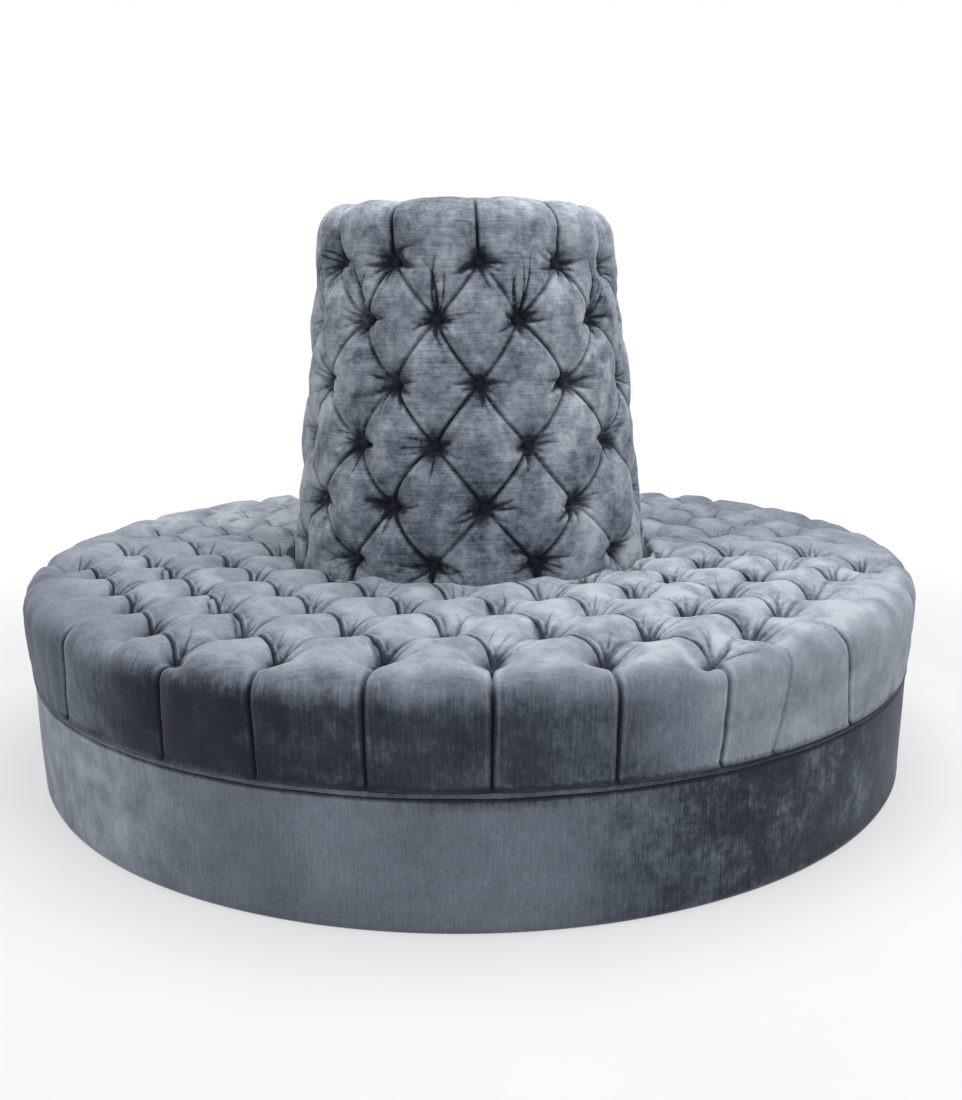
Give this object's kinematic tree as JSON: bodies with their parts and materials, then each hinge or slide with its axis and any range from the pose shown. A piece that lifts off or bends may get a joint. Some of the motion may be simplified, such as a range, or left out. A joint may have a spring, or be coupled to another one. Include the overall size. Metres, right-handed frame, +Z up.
{
  "type": "round tufted lobby sofa",
  "caption": "Round seat made of two half-round upholstered units that butt together round a tapered tufted column back, for sitting on from every side.",
  "frame": {"origin": "centre of the round base on the floor, under the column's axis", "axes": "+Z up along the column's axis; the split between the two seats runs along X; the pictured half lies towards -Y"},
  "size_m": [1.9, 1.9, 1.172],
  "materials": {
    "velvet": "slate blue-grey chenille velvet with a crushed nap",
    "plywood": "bare birch plywood",
    "timber": "planed softwood",
    "hardboard": "smooth brown hardboard",
    "foam": "cut polyurethane foam",
    "dust_cloth": "black non-woven cloth",
    "plastic": "moulded black plastic",
    "steel": "zinc plated"
  },
  "bodies": {
    "root": {"front_base_cover": "velvet", "rear_base_cover": "velvet", "front_welt": "velvet", "rear_welt": "velvet", "front_seat_cushion": "velvet", "rear_seat_cushion": "velvet", "column_cover": "velvet", "column_cap": "velvet", "front_bottom_plate": "plywood", "rear_bottom_plate": "plywood", "front_left_split_panel": "plywood", "rear_left_split_panel": "plywood", "front_right_split_panel": "plywood", "rear_right_split_panel": "plywood", "front_well_panel": "plywood", "rear_well_panel": "plywood", "front_deck": "plywood", "rear_deck": "plywood", "column_base_disc": "plywood", "column_top_disc": "plywood", "column_lower_former": "plywood", "column_upper_former": "plywood", "front_stud_1": "timber", "front_stud_2": "timber", "front_stud_3": "timber", "front_stud_4": "timber", "rear_stud_1": "timber", "rear_stud_2": "timber", "rear_stud_3": "timber", "rear_stud_4": "timber", "column_post_1": "timber", "column_post_2": "timber", "column_post_3": "timber", "column_post_4": "timber", "front_outer_skin": "hardboard", "rear_outer_skin": "hardboard", "column_skin": "hardboard", "front_seat_foam": "foam", "rear_seat_foam": "foam", "column_foam": "foam", "front_dust_cover": "dust_cloth", "rear_dust_cover": "dust_cloth", "front_glide_1": "plastic", "front_glide_2": "plastic", "front_glide_3": "plastic", "front_glide_4": "plastic", "rear_glide_1": "plastic", "rear_glide_2": "plastic", "rear_glide_3": "plastic", "rear_glide_4": "plastic", "joining_bolt_1": "steel", "joining_bolt_2": "steel", "joining_bolt_3": "steel", "joining_bolt_4": "steel", "joining_nut_1": "steel", "joining_nut_2": "steel", "joining_nut_3": "steel", "joining_nut_4": "steel"}
  },
  "joints": []
}
